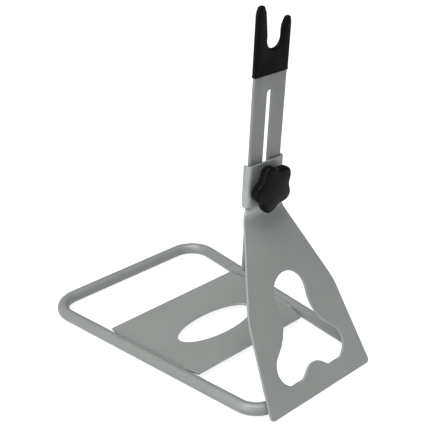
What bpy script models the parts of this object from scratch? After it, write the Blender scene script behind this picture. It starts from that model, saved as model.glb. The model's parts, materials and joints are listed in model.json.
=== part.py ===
"""Wheel-hub display stand.

A closed ring of bent tube lies on the floor. A leaning front plate stands on its front tube, and
the top of that plate is folded into a guide channel. A slotted flat bar with a rubber-capped fork
slides in the channel, and a star knob on a carriage bolt clamps it at any height.

Metres, +Z up, the front is -Y, the floor is z = 0, and the origin is under the middle of the stand.
"""

import math

import bmesh
import bpy
from mathutils import Matrix, Vector

MM = 0.001
GAP = 0.3 * MM  # clearance kept between touching pieces

# Floor frame: one tube bent to a trapezoid ring, sizes between tube centre lines
TUBE_RADIUS = 6.35 * MM
TUBE_WALL = 1.2 * MM
TUBE_SIDES = 20
BORE_SIDES = 12
FRAME_LENGTH = 286.5 * MM
FRAME_FRONT_WIDTH = 148.5 * MM
FRAME_REAR_WIDTH = 208 * MM
FRONT_BEND_RADIUS = 24 * MM
REAR_BEND_RADIUS = 27 * MM
VENT_RADIUS = 2 * MM
VENT_X = 45 * MM

# Sheet steel of the front plate and the cross plate
SHEET = 2.5 * MM

# Cross plate between the side tubes
CROSS_FRONT = 82 * MM  # front edge, behind the front tube's centre line
CROSS_REAR = 203.5 * MM
CROSS_RISE = 0.7 * MM  # its mid-plane above the tubes' centre lines
CROSS_WELD_INSET = 18 * MM  # how far the welded stretch stays from each corner
CROSS_CORNER_DROP = 4 * MM  # how far each corner pulls in from the tube
OVAL_CENTRE = 137 * MM
OVAL_HALF_WIDTH = 48.5 * MM
OVAL_HALF_DEPTH = 20.3 * MM

# Front plate, measured on its blank from the bottom edge up
PLATE_LEAN = math.radians(26.7)  # leans back
FOOT_HALF_WIDTH = 69 * MM
FOOT_CORNER_RADIUS = 4 * MM
SHOULDER_HEIGHT = 92 * MM
SHOULDER_HALF_WIDTH = 57.5 * MM
SHOULDER_RADIUS = 52 * MM
NECK_HALF_WIDTH = 24.8 * MM
NECK_RADIUS = 20 * MM
FOLD_HEIGHT = 178.5 * MM
FOLD_INSIDE_RADIUS = 14 * MM

# Three-lobed cutout in the front plate
TOP_LOBE_HEIGHT = 99.8 * MM
TOP_LOBE_RADIUS = 19.8 * MM
SIDE_LOBE_X = 25.8 * MM
SIDE_LOBE_HEIGHT = 36.8 * MM
SIDE_LOBE_RADIUS = 18.6 * MM
WAIST_RADIUS = 45 * MM
BUMP_TOP = 29.5 * MM

# Slotted bar, measured along it from its lower end
BAR_LEAN = math.radians(4.4)  # leans forward
BAR_WIDTH = 39.4 * MM
BAR_THICKNESS = 3 * MM
BAR_CORNER_RADIUS = 3 * MM
BAR_EDGE_RADIUS = 0.8 * MM
SLOT_WIDTH = 7 * MM
SLOT_BOTTOM = 14 * MM
SLOT_TOP = 179.7 * MM
BOLT_ON_BAR = 88.8 * MM  # where the bolt stands at rest

# Fork outline at the rubber's outer surface, on the same scale
BOOT_BOTTOM = 192.6 * MM
BOOT_WALL = 0.7 * MM
BOOT_EDGE_RADIUS = 1.5 * MM
BOOT_CORNER_RADIUS = 2.5 * MM
NOTCH_BOTTOM = 216 * MM
NOTCH_HALF_WIDTH = 8.75 * MM
NOTCH_SHIFT = 1.45 * MM  # towards the short prong
LONG_PRONG_TIP = 255.4 * MM
LONG_PRONG_WIDTH = 10.6 * MM
LONG_PRONG_BEND = 229 * MM  # where its inner side starts to lean outwards
SHORT_PRONG_TIP = 241.5 * MM
SHORT_PRONG_WIDTH = 9.6 * MM
SHORT_PRONG_BEND = 230.6 * MM
PRONG_BEND_RADIUS = 12 * MM
PRONG_TAPER_HEIGHT = 4.5 * MM
LONG_PRONG_TAPERS = 0.25, 0.25  # shares of its width lost at the tip, outer and inner side
SHORT_PRONG_TAPERS = 0.14, 0.36
PRONG_TIP_ROUNDING = 0.32  # corner radius as a share of the width

# Guide channel at the top of the front plate, measured from the fold
GUIDE_TOP = 52.2 * MM
GUIDE_SIDE_PLAY = 0.6 * MM
GUIDE_BEND_INSIDE_RADIUS = 1.6 * MM
EAR_BOTTOM = 10.8 * MM
EAR_CORNER_RADIUS = 3.5 * MM
RELIEF_HEIGHT = 0.8 * MM
RELIEF_RADIUS = 0.35 * MM
RELIEF_DEPTH = 4 * MM
EAR_BEHIND_BAR = 1.7 * MM
BOLT_ABOVE_FOLD = 29.1 * MM
BOLT_HOLE_RADIUS = 3.4 * MM

# Clamp, measured along the bolt from the bar's mid-plane
BOLT_RADIUS = 3 * MM
BOLT_TIP = 14.5 * MM
BOLT_CHAMFER = 0.6 * MM
BOLT_HEAD_RADIUS = 8 * MM
BOLT_HEAD_HEIGHT = 3.3 * MM
NECK_WIDTH = 6.2 * MM
WASHER_RADIUS = 9 * MM
WASHER_THICKNESS = 1.6 * MM
KNOB_HUB_RADIUS = 8.5 * MM
KNOB_BACK = 8.2 * MM
KNOB_RIM = 17.2 * MM
KNOB_CROWN = 18.8 * MM
KNOB_MEAN_RADIUS = 21.4 * MM
KNOB_LOBE_DEPTH = 2.7 * MM
KNOB_LOBES = 5
KNOB_LOBE_ANGLE = math.radians(38.5)
KNOB_BORE_DEPTH = 15.5 * MM
NUT_ACROSS_FLATS = 10 * MM
NUT_LENGTH = 6 * MM

ROUND_SIDES = 32
ARC_STEP = math.radians(12)  # largest turn between two points of an arc


# ---- places that follow from the dimensions ----

TUBE_AXIS_HEIGHT = TUBE_RADIUS * math.cos(math.pi / TUBE_SIDES)  # from centre line to a facet
PLATE_UP = Vector((0, math.sin(PLATE_LEAN), math.cos(PLATE_LEAN)))
PLATE_FRONT = Vector((0, -math.cos(PLATE_LEAN), math.sin(PLATE_LEAN)))
BAR_UP = Vector((0, -math.sin(BAR_LEAN), math.cos(BAR_LEAN)))
BAR_FRONT = Vector((0, -math.cos(BAR_LEAN), -math.sin(BAR_LEAN)))


def foot_point():
    """Mid-sheet point of the plate's bottom edge, from the front tube's centre line at y = 0."""
    touch = Vector((0, 0, TUBE_AXIS_HEIGHT)) + PLATE_FRONT * (TUBE_RADIUS + GAP + SHEET / 2)
    foot_height = SHEET / 2 * math.sin(PLATE_LEAN)
    return touch - PLATE_UP * ((touch.z - foot_height) / math.cos(PLATE_LEAN))


TOE = SHEET / 2 * math.cos(PLATE_LEAN) - foot_point().y  # the plate's foremost edge
FRONT_AXIS_Y = (TOE - FRAME_LENGTH - TUBE_AXIS_HEIGHT) / 2
FOOT = foot_point() + Vector((0, FRONT_AXIS_Y, 0))
FOLD = FOOT + PLATE_UP * FOLD_HEIGHT
GUIDE_TO_BAR = SHEET / 2 + GAP + BAR_THICKNESS / 2  # between the two mid-planes
BOLT_POINT = FOLD + BAR_UP * BOLT_ABOVE_FOLD - BAR_FRONT * GUIDE_TO_BAR
CLAMP_FRAME = Matrix.Translation(BOLT_POINT) @ Matrix(
    ((1, 0, 0), (0, BAR_UP.y, BAR_FRONT.y), (0, BAR_UP.z, BAR_FRONT.z))
).to_4x4()


# ---- outlines ----

def arc(centre, radius, start, end):
    """Points of an arc from angle start to angle end."""
    steps = max(2, math.ceil(abs(end - start) / ARC_STEP))
    angles = [start + (end - start) * i / steps for i in range(steps + 1)]
    return [(centre[0] + radius * math.cos(a), centre[1] + radius * math.sin(a)) for a in angles]


def rounded(corners):
    """Closed outline through corners (x, y, radius), with an arc at each one that has a radius."""
    points = []
    for i, (x, y, radius) in enumerate(corners):
        here = Vector((x, y))
        before = (Vector(corners[i - 1][:2]) - here).normalized()
        after = (Vector(corners[(i + 1) % len(corners)][:2]) - here).normalized()
        if radius == 0:
            points.append((x, y))
            continue
        half = before.angle(after) / 2
        centre = here + (before + after).normalized() * radius / math.sin(half)
        start = here + before * radius / math.tan(half) - centre
        end = here + after * radius / math.tan(half) - centre
        first = math.atan2(start.y, start.x)
        turn = (math.atan2(end.y, end.x) - first + math.pi) % math.tau - math.pi
        points += arc(centre, radius, first, first + turn)
    return points


def mirrored(corners):
    """The corners on the right and their mirror images on the left."""
    return corners + [(-corner[0],) + tuple(corner[1:]) for corner in reversed(corners)]


def angle_from(centre, other):
    """Direction from one point to another."""
    return math.atan2(other[1] - centre[1], other[0] - centre[0])


def ring_path():
    """Centre line of the floor frame's tube."""
    rear = FRONT_AXIS_Y + FRAME_LENGTH
    half = [
        (FRAME_FRONT_WIDTH / 2, FRONT_AXIS_Y, FRONT_BEND_RADIUS),
        (FRAME_REAR_WIDTH / 2, rear, REAR_BEND_RADIUS),
    ]
    return rounded(mirrored(half))


def frame_half_width(distance):
    """Half the frame's width at a distance behind the front tube's centre line."""
    return (FRAME_FRONT_WIDTH + (FRAME_REAR_WIDTH - FRAME_FRONT_WIDTH) * distance / FRAME_LENGTH) / 2


def cross_plate_outline():
    """Rectangle-like plate that meets the tubes along the middle of each end."""
    slope = math.atan((FRAME_REAR_WIDTH - FRAME_FRONT_WIDTH) / 2 / FRAME_LENGTH)
    reach = (TUBE_RADIUS + GAP) / math.cos(slope)
    inset = (CROSS_CORNER_DROP, 0, 0, CROSS_CORNER_DROP)
    stations = (
        CROSS_FRONT,
        CROSS_FRONT + CROSS_WELD_INSET,
        CROSS_REAR - CROSS_WELD_INSET,
        CROSS_REAR,
    )
    half = [
        (frame_half_width(y) - reach - drop, FRONT_AXIS_Y + y, 1 * MM)
        for y, drop in zip(stations, inset)
    ]
    return rounded(mirrored(half))


def oval_outline():
    """Oval hole of the cross plate."""
    steps = 48
    angles = [math.tau * i / steps for i in range(steps)]
    middle = FRONT_AXIS_Y + OVAL_CENTRE
    return [
        (OVAL_HALF_WIDTH * math.cos(a), middle + OVAL_HALF_DEPTH * math.sin(a)) for a in angles
    ]


def guide_half_flat():
    """Half width of the guide channel's flat front wall."""
    return BAR_WIDTH / 2 + GUIDE_SIDE_PLAY - GUIDE_BEND_INSIDE_RADIUS


def ear_length():
    """Developed length of one ear: its bend and the flat that runs past the bar's back."""
    bend = (GUIDE_BEND_INSIDE_RADIUS + SHEET / 2) * math.pi / 2
    depth = SHEET / 2 + GAP + BAR_THICKNESS + EAR_BEHIND_BAR
    return bend + depth - (GUIDE_BEND_INSIDE_RADIUS + SHEET / 2)


def front_plate_outline():
    """Blank of the front plate, before its top is folded."""
    ear_bottom = FOLD_HEIGHT + EAR_BOTTOM
    relief = ear_bottom - RELIEF_HEIGHT
    outside = BAR_WIDTH / 2 + GUIDE_SIDE_PLAY + SHEET
    relief_x = outside - RELIEF_DEPTH
    ear_x = guide_half_flat() + ear_length()
    half = [
        (FOOT_HALF_WIDTH, 0, FOOT_CORNER_RADIUS),
        (SHOULDER_HALF_WIDTH, SHOULDER_HEIGHT, SHOULDER_RADIUS),
        (NECK_HALF_WIDTH, FOLD_HEIGHT, NECK_RADIUS),
        (outside, relief, RELIEF_RADIUS),
        (relief_x, relief, RELIEF_RADIUS),
        (relief_x, ear_bottom, RELIEF_RADIUS),
        (ear_x, ear_bottom, EAR_CORNER_RADIUS),
        (ear_x, FOLD_HEIGHT + GUIDE_TOP, RELIEF_RADIUS),
    ]
    return rounded(mirrored(half))


def waist_centre():
    """Centre of the arc that joins the top lobe to the right side lobe."""
    top = Vector((0, TOP_LOBE_HEIGHT))
    side = Vector((SIDE_LOBE_X, SIDE_LOBE_HEIGHT))
    to_top = TOP_LOBE_RADIUS + WAIST_RADIUS
    to_side = SIDE_LOBE_RADIUS + WAIST_RADIUS
    span = (side - top).length
    along = (to_top**2 - to_side**2 + span**2) / (2 * span)
    across = math.sqrt(to_top**2 - along**2)
    line = (side - top) / span
    return top + line * along + Vector((-line.y, line.x)) * across


def cutout_outline():
    """Three-lobed cutout: three circles joined by outward-curving waists and a bump below."""
    top = (0, TOP_LOBE_HEIGHT)
    side = (SIDE_LOBE_X, SIDE_LOBE_HEIGHT)
    waist = waist_centre()
    drop = SIDE_LOBE_HEIGHT - BUMP_TOP
    bump_radius = (SIDE_LOBE_X**2 + drop**2 - SIDE_LOBE_RADIUS**2) / (2 * (SIDE_LOBE_RADIUS - drop))
    bump = (0, BUMP_TOP - bump_radius)
    half = arc(top, TOP_LOBE_RADIUS, math.pi / 2, angle_from(top, waist))[1:]
    waist_start = angle_from(waist, top) % math.tau
    waist_end = angle_from(waist, side) % math.tau
    half += arc(waist, WAIST_RADIUS, waist_start, waist_end)[1:]
    half += arc(side, SIDE_LOBE_RADIUS, angle_from(side, waist), angle_from(side, bump))[1:]
    half += arc(bump, bump_radius, angle_from(bump, side), math.pi / 2)[1:-1]
    ends = (0, TOP_LOBE_HEIGHT + TOP_LOBE_RADIUS), (0, BUMP_TOP)
    return [ends[0]] + half + [ends[1]] + [(-x, y) for x, y in reversed(half)]


def circle(centre, radius, sides):
    """Points of a circle."""
    angles = [math.tau * i / sides for i in range(sides)]
    return [(centre[0] + radius * math.cos(a), centre[1] + radius * math.sin(a)) for a in angles]


def slot_outline():
    """Long slot of the bar, with round ends."""
    radius = SLOT_WIDTH / 2
    upper = arc((0, SLOT_TOP - radius), radius, 0, math.pi)
    lower = arc((0, SLOT_BOTTOM + radius), radius, math.pi, math.tau)
    return upper + lower


def prong_tip(outer, inner, top, tapers):
    """Corners of a prong's tapered tip, from its outer side to its inner side."""
    width = inner - outer
    shoulder = top - PRONG_TAPER_HEIGHT
    blend = abs(width)
    corner = blend * PRONG_TIP_ROUNDING
    return [
        (outer, shoulder, blend),
        (outer + width * tapers[0], top, corner),
        (inner - width * tapers[1], top, corner),
        (inner, shoulder, blend),
    ]


def fork_top(inset):
    """Top of the fork from its right side to its left, drawn inset inside the rubber's surface."""
    outer = BAR_WIDTH / 2 + GAP + BOOT_WALL - inset
    notch = NOTCH_HALF_WIDTH + inset
    notch_right = NOTCH_SHIFT + notch
    notch_left = NOTCH_SHIFT - notch
    short_inner = outer - SHORT_PRONG_WIDTH + 2 * inset
    long_inner = -outer + LONG_PRONG_WIDTH - 2 * inset
    floor = NOTCH_BOTTOM - inset
    floor_radius = notch - GAP
    return [
        *prong_tip(outer, short_inner, SHORT_PRONG_TIP - inset, SHORT_PRONG_TAPERS),
        (notch_right, SHORT_PRONG_BEND, PRONG_BEND_RADIUS),
        (notch_right, floor, floor_radius),
        (notch_left, floor, floor_radius),
        (notch_left, LONG_PRONG_BEND, PRONG_BEND_RADIUS),
        *reversed(prong_tip(-outer, long_inner, LONG_PRONG_TIP - inset, LONG_PRONG_TAPERS)),
    ]


def bar_outline():
    """Flat bar with the fork cut into its top, one boot wall and a gap inside the rubber."""
    half = BAR_WIDTH / 2
    bottom = [(-half, 0, BAR_CORNER_RADIUS), (half, 0, BAR_CORNER_RADIUS)]
    return rounded(bottom + fork_top(BOOT_WALL + GAP))


def boot_outline(inset, bottom, corner):
    """Outline of the rubber cap or, with an inset, of the pocket inside it."""
    outer = BAR_WIDTH / 2 + GAP + BOOT_WALL - inset
    return rounded([(-outer, bottom, corner), (outer, bottom, corner)] + fork_top(inset))


# ---- folding of the front plate ----

def fold_tangent():
    """Distance from the fold's corner to the start of its bend."""
    return (FOLD_INSIDE_RADIUS + SHEET / 2) * math.tan((PLATE_LEAN + BAR_LEAN) / 2)


def along_plate(height):
    """Point of the sheet's middle and its forward normal at a height on the blank."""
    radius = FOLD_INSIDE_RADIUS + SHEET / 2
    tangent = fold_tangent()
    start = FOLD_HEIGHT - tangent
    if height <= start:
        return FOOT + PLATE_UP * height, PLATE_FRONT
    if height >= FOLD_HEIGHT + tangent:
        return FOLD + BAR_UP * (height - FOLD_HEIGHT), BAR_FRONT
    angle = (PLATE_LEAN + BAR_LEAN) * (height - start) / (2 * tangent)
    centre = FOOT + PLATE_UP * start + PLATE_FRONT * radius
    normal = Matrix.Rotation(angle, 3, "X") @ PLATE_FRONT
    return centre - normal * radius, normal


def folded(x, height):
    """Where a point of the front plate's blank ends up."""
    middle, normal = along_plate(height)
    flat = guide_half_flat()
    if height < FOLD_HEIGHT + EAR_BOTTOM - RELIEF_HEIGHT / 2 or abs(x) <= flat:
        return middle + Vector((x, 0, 0))
    radius = GUIDE_BEND_INSIDE_RADIUS + SHEET / 2
    angle = min((abs(x) - flat) / radius, math.pi / 2)
    straight = max(abs(x) - flat - radius * math.pi / 2, 0)
    side = flat + radius * math.sin(angle)
    back = radius * (1 - math.cos(angle)) + straight
    return middle + Vector((math.copysign(side, x), 0, 0)) - normal * back


def fold_lines():
    """Blank heights and half widths at which the sheet needs points to bend."""
    heights = [FOLD_HEIGHT + fold_tangent() * i / 3 for i in range(-3, 4)]
    bend = (GUIDE_BEND_INSIDE_RADIUS + SHEET / 2) * math.pi / 2
    widths = [guide_half_flat() + bend * i / 6 for i in range(7)]
    return heights, widths


# ---- solids ----

def finish(name, bm, material, frame=None):
    """Turn a bmesh into a named object with a material."""
    bmesh.ops.recalc_face_normals(bm, faces=bm.faces)
    mesh = bpy.data.meshes.new(name)
    bm.to_mesh(mesh)
    bm.free()
    mesh.shade_smooth()
    mesh.set_sharp_from_angle(angle=math.radians(35))
    obj = bpy.data.objects.new(name, mesh)
    if material:
        mesh.materials.append(material)
    if frame:
        obj.matrix_world = frame
    bpy.context.scene.collection.objects.link(obj)
    return obj


def flat_blank(outline, holes):
    """Filled flat shape with holes, in the XY plane."""
    bm = bmesh.new()
    edges = []
    for loop in [outline] + holes:
        verts = [bm.verts.new((x, y, 0)) for x, y in loop]
        edges += [bm.edges.new((verts[i - 1], verts[i])) for i in range(len(verts))]
    bmesh.ops.triangle_fill(bm, use_beauty=True, use_dissolve=False, edges=edges)
    for face in bm.faces:
        if face.normal.z < 0:
            face.normal_flip()
    return bm


def bend_line(bm, point, normal, lowest):
    """Split the faces of a blank that lie above the lowest height along a line."""
    faces = [f for f in bm.faces if f.calc_center_median().y > lowest]
    edges = list({e for f in faces for e in f.edges})
    verts = list({v for f in faces for v in f.verts})
    bmesh.ops.bisect_plane(bm, geom=verts + edges + faces, plane_co=point, plane_no=normal)


def thicken(obj, thickness):
    """Give a sheet its thickness, half to each side."""
    solid = obj.modifiers.new("thickness", "SOLIDIFY")
    solid.thickness = thickness
    solid.offset = 0
    solid.use_even_offset = True


def round_edges(obj, radius):
    """Round the sharp edges of a piece."""
    rounding = obj.modifiers.new("rounding", "BEVEL")
    rounding.width = radius
    rounding.segments = 2
    rounding.limit_method = "ANGLE"
    rounding.angle_limit = math.radians(60)
    rounding.use_clamp_overlap = False


def cut(obj, cutter, operation="DIFFERENCE"):
    """Cut a piece with a hidden solid, or join the two."""
    cutter.hide_render = True
    cutter.display_type = "WIRE"
    boolean = obj.modifiers.new(cutter.name, "BOOLEAN")
    boolean.operation = operation
    boolean.solver = "EXACT"
    boolean.object = cutter


def swept_ring(name, path, radius, sides, height, material):
    """Round tube along a closed level path, with a facet facing straight down."""
    bm = bmesh.new()
    rings = []
    for i, point in enumerate(path):
        before = Vector(path[i - 1])
        after = Vector(path[(i + 1) % len(path)])
        along = (after - before).normalized()
        side = Vector((along.y, -along.x, 0))
        ring = []
        for k in range(sides):
            angle = math.tau * (k + 0.5) / sides - math.pi / 2
            offset = side * math.cos(angle) + Vector((0, 0, math.sin(angle)))
            ring.append(bm.verts.new(Vector((point[0], point[1], height)) + offset * radius))
        rings.append(ring)
    for i, ring in enumerate(rings):
        for k in range(sides):
            bm.faces.new((rings[i - 1][k - 1], ring[k - 1], ring[k], rings[i - 1][k]))
    return finish(name, bm, material)


def turned(name, profile, material, frame=None):
    """Solid of revolution about Z from (radius, height) points, closed on the axis or in a loop."""
    bm = bmesh.new()
    verts = [bm.verts.new((r, 0, z)) for r, z in profile]
    edges = [bm.edges.new(pair) for pair in zip(verts, verts[1:])]
    if profile[0][0] > 0:
        edges.append(bm.edges.new((verts[-1], verts[0])))
    bmesh.ops.spin(
        bm, geom=verts + edges, angle=math.tau, steps=ROUND_SIDES, axis=(0, 0, 1), use_merge=True
    )
    bmesh.ops.remove_doubles(bm, verts=bm.verts, dist=0.001 * MM)
    return finish(name, bm, material, frame)


def prism(name, outline, low, high, material=None, frame=None):
    """Straight solid with the given outline, from height low to height high."""
    bm = bmesh.new()
    bottom = bm.faces.new([bm.verts.new((x, y, low)) for x, y in outline])
    top = bmesh.ops.extrude_face_region(bm, geom=[bottom])["geom"]
    moved = [v for v in top if isinstance(v, bmesh.types.BMVert)]
    bmesh.ops.translate(bm, verts=moved, vec=(0, 0, high - low))
    return finish(name, bm, material, frame)


def lofted(name, rings, material, frame):
    """Solid through closed rings of points, with a flat face at each end."""
    bm = bmesh.new()
    loops = [[bm.verts.new(point) for point in ring] for ring in rings]
    for low, high in zip(loops, loops[1:]):
        for i in range(len(low)):
            bm.faces.new((low[i - 1], low[i], high[i], high[i - 1]))
    bm.faces.new(loops[0])
    bm.faces.new(loops[-1])
    return finish(name, bm, material, frame)


# ---- pieces ----

def make_material(name, color, roughness, metallic):
    """Plain Principled material."""
    material = bpy.data.materials.new(name)
    material.use_nodes = True
    shader = material.node_tree.nodes["Principled BSDF"]
    shader.inputs["Base Color"].default_value = (*color, 1)
    shader.inputs["Roughness"].default_value = roughness
    shader.inputs["Metallic"].default_value = metallic
    return material


def make_base_frame(material):
    """Hollow tube ring, with a vent hole under the rear tube."""
    path = ring_path()
    frame = swept_ring("base_frame", path, TUBE_RADIUS, TUBE_SIDES, TUBE_AXIS_HEIGHT, material)
    bore_radius = TUBE_RADIUS - TUBE_WALL
    bore = swept_ring("frame_bore", path, bore_radius, BORE_SIDES, TUBE_AXIS_HEIGHT, None)
    outline = circle((VENT_X, FRONT_AXIS_Y + FRAME_LENGTH), VENT_RADIUS, 12)
    vent = prism("frame_vent", outline, -TUBE_WALL, 2 * TUBE_WALL)
    cut(frame, bore)
    cut(frame, vent)


def make_cross_plate(material):
    """Flat plate with an oval hole, welded between the side tubes."""
    bm = flat_blank(cross_plate_outline(), [oval_outline()])
    height = Matrix.Translation((0, 0, TUBE_AXIS_HEIGHT + CROSS_RISE))
    plate = finish("cross_plate", bm, material, height)
    thicken(plate, SHEET)


def make_front_plate(material):
    """Leaning plate with the three-lobed cutout, its top folded into the guide channel."""
    bolt_hole = circle((0, FOLD_HEIGHT + BOLT_ABOVE_FOLD), BOLT_HOLE_RADIUS, 24)
    bm = flat_blank(front_plate_outline(), [cutout_outline(), bolt_hole])
    heights, widths = fold_lines()
    ear_line = FOLD_HEIGHT + EAR_BOTTOM - RELIEF_HEIGHT / 2
    for height in heights + [ear_line]:
        bend_line(bm, (0, height, 0), (0, 1, 0), 0)
    for x in widths + [-width for width in widths]:
        bend_line(bm, (x, 0, 0), (1, 0, 0), ear_line)
    for vert in bm.verts:
        vert.co = folded(vert.co.x, vert.co.y)
    plate = finish("front_plate", bm, material)
    thicken(plate, SHEET)


def shifted(outline):
    """An outline on the bar, measured from the bolt instead of from the bar's lower end."""
    return [(x, y - BOLT_ON_BAR) for x, y in outline]


def make_slotted_bar(material):
    """Flat bar with the slot and the fork."""
    half = BAR_THICKNESS / 2
    bar = prism("slotted_bar", shifted(bar_outline()), -half, half, material, CLAMP_FRAME)
    round_edges(bar, BAR_EDGE_RADIUS)
    cut(bar, prism("bar_slot", shifted(slot_outline()), -2 * half, 2 * half, None, CLAMP_FRAME))


def make_fork_boot(material):
    """Rubber cap over the fork, open at the bottom."""
    half = BAR_THICKNESS / 2 + GAP
    outer = shifted(boot_outline(0, BOOT_BOTTOM, BOOT_CORNER_RADIUS))
    boot = prism("fork_boot", outer, -half - BOOT_WALL, half + BOOT_WALL, material, CLAMP_FRAME)
    round_edges(boot, BOOT_EDGE_RADIUS)
    inner = shifted(boot_outline(BOOT_WALL, BOOT_BOTTOM - 4 * MM, 0))
    cut(boot, prism("boot_pocket", inner, -half, half, None, CLAMP_FRAME))


def make_carriage_bolt(material):
    """Round head behind the bar, square neck in the slot and shank through the channel."""
    under_head = -BAR_THICKNESS / 2 - GAP
    head_back = under_head - BOLT_HEAD_HEIGHT
    dome = [
        (BOLT_HEAD_RADIUS * math.sin(a), under_head - BOLT_HEAD_HEIGHT * math.cos(a))
        for a in (math.radians(d) for d in (18, 36, 54, 72))
    ]
    profile = [(0, head_back)] + dome + [
        (BOLT_HEAD_RADIUS, under_head),
        (BOLT_RADIUS, under_head),
        (BOLT_RADIUS, BOLT_TIP - BOLT_CHAMFER),
        (BOLT_RADIUS - BOLT_CHAMFER, BOLT_TIP),
        (0, BOLT_TIP),
    ]
    bolt = turned("carriage_bolt", profile, material, CLAMP_FRAME)
    half = NECK_WIDTH / 2
    square = [(-half, -half), (half, -half), (half, half), (-half, half)]
    neck = prism("bolt_neck", square, under_head - 0.5 * MM, BAR_THICKNESS / 2, None, CLAMP_FRAME)
    cut(bolt, neck, "UNION")


def washer_back():
    """Height of the washer's back face, just off the channel's front wall."""
    return BAR_THICKNESS / 2 + 2 * GAP + SHEET


def make_clamp_washer(material):
    """Flat washer between the channel and the knob."""
    low = washer_back()
    high = low + WASHER_THICKNESS
    hole = BOLT_HOLE_RADIUS
    profile = [(hole, low), (WASHER_RADIUS, low), (WASHER_RADIUS, high), (hole, high)]
    turned("clamp_washer", profile, material, CLAMP_FRAME)


def knob_ring(scale, height):
    """Lobed outline of the knob at one height."""
    ring = []
    steps = 80
    for i in range(steps):
        angle = math.tau * i / steps
        lobe = KNOB_LOBE_DEPTH * math.cos(KNOB_LOBES * (angle - KNOB_LOBE_ANGLE))
        radius = (KNOB_MEAN_RADIUS + lobe) * scale
        ring.append((radius * math.cos(angle), radius * math.sin(angle), height))
    return ring


def hub_ring(height):
    """Round outline of the knob's hub with as many points as the lobed rings."""
    return [(x, y, height) for x, y in circle((0, 0), KNOB_HUB_RADIUS, 80)]


def knob_hub_height():
    """Height of the hub's face, just off the washer."""
    return washer_back() + WASHER_THICKNESS + GAP


def hexagon(across_flats):
    """Regular hexagon of the given size."""
    return circle((0, 0), across_flats / math.sqrt(3), 6)


def make_clamp_knob(material):
    """Five-lobed star knob with a hub, a rounded rim and a low crown."""
    rim = KNOB_RIM - KNOB_BACK
    rings = [
        hub_ring(knob_hub_height()),
        hub_ring(KNOB_BACK),
        knob_ring(0.9, KNOB_BACK),
        knob_ring(0.98, KNOB_BACK + 0.06 * rim),
        knob_ring(1.0, KNOB_BACK + 0.2 * rim),
        knob_ring(1.0, KNOB_BACK + 0.6 * rim),
        knob_ring(0.975, KNOB_BACK + 0.8 * rim),
        knob_ring(0.92, KNOB_BACK + 0.93 * rim),
        knob_ring(0.84, KNOB_RIM),
        knob_ring(0.5, KNOB_CROWN - 0.4 * MM),
        knob_ring(0.2, KNOB_CROWN),
    ]
    knob = lofted("clamp_knob", rings, material, CLAMP_FRAME)
    pocket_outline = hexagon(NUT_ACROSS_FLATS + 2 * GAP)
    pocket_top = knob_hub_height() + NUT_LENGTH + 2 * GAP
    low = knob_hub_height() - 1 * MM
    cut(knob, prism("nut_pocket", pocket_outline, low, pocket_top, None, CLAMP_FRAME))
    bore = circle((0, 0), BOLT_HOLE_RADIUS, 24)
    cut(knob, prism("knob_bore", bore, pocket_top - 1 * MM, KNOB_BORE_DEPTH, None, CLAMP_FRAME))


def make_knob_nut(material):
    """Threaded hexagon insert moulded into the knob."""
    middle = knob_hub_height() + GAP + NUT_LENGTH / 2
    bm = flat_blank(hexagon(NUT_ACROSS_FLATS), [circle((0, 0), BOLT_HOLE_RADIUS, 24)])
    bmesh.ops.translate(bm, verts=bm.verts, vec=(0, 0, middle))
    nut = finish("knob_nut", bm, material, CLAMP_FRAME)
    thicken(nut, NUT_LENGTH)


def build():
    """Make every piece in an empty scene."""
    for obj in list(bpy.data.objects):
        bpy.data.objects.remove(obj, do_unlink=True)
    paint = make_material("silver_paint", (0.36, 0.38, 0.37), 0.42, 0.35)
    rubber = make_material("black_rubber", (0.02, 0.02, 0.021), 0.5, 0)
    plastic = make_material("black_plastic", (0.02, 0.02, 0.02), 0.35, 0)
    zinc = make_material("zinc_steel", (0.6, 0.61, 0.62), 0.3, 1)
    brass = make_material("brass", (0.7, 0.52, 0.25), 0.35, 1)
    make_base_frame(paint)
    make_cross_plate(paint)
    make_front_plate(paint)
    make_slotted_bar(paint)
    make_fork_boot(rubber)
    make_carriage_bolt(zinc)
    make_clamp_washer(zinc)
    make_clamp_knob(plastic)
    make_knob_nut(brass)


build()
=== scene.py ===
"""Looks of the wheel-hub display stand: finer pieces, paint, rubber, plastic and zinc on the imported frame.

Metres, +Z up, the front is -Y. The clamp frame has its origin where the bolt crosses the middle of
the bar's thickness, its second axis up the bar and its third axis out of the front.
"""

import json
import math

import bmesh
import bpy
from mathutils import Matrix, Vector, noise


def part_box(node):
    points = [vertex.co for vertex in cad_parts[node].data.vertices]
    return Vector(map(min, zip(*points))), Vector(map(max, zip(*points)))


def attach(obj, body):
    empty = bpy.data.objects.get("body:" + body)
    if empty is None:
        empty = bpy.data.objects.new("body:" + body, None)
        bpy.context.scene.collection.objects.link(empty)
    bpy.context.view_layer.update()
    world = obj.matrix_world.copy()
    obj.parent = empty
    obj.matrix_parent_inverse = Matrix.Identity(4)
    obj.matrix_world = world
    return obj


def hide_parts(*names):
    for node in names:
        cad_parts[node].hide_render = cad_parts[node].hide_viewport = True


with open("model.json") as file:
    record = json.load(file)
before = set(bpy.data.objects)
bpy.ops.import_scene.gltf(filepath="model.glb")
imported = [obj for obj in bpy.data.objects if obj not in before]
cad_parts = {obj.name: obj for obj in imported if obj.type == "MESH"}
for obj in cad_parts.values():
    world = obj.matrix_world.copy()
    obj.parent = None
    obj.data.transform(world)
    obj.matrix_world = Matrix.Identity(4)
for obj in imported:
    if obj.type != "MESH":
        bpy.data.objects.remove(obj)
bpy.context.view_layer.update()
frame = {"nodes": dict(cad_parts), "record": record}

MM = 0.001

# Camera: place, heading, dip below the horizon and roll
CAMERA_PLACE = (-0.54505, -0.60488, 0.53145)
CAMERA_HEADING = math.radians(-42.293)
CAMERA_DIP = math.radians(26.15)
CAMERA_ROLL = math.radians(-1.02)
CAMERA_LENS = 76.85
CAMERA_SENSOR = 36.0

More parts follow.
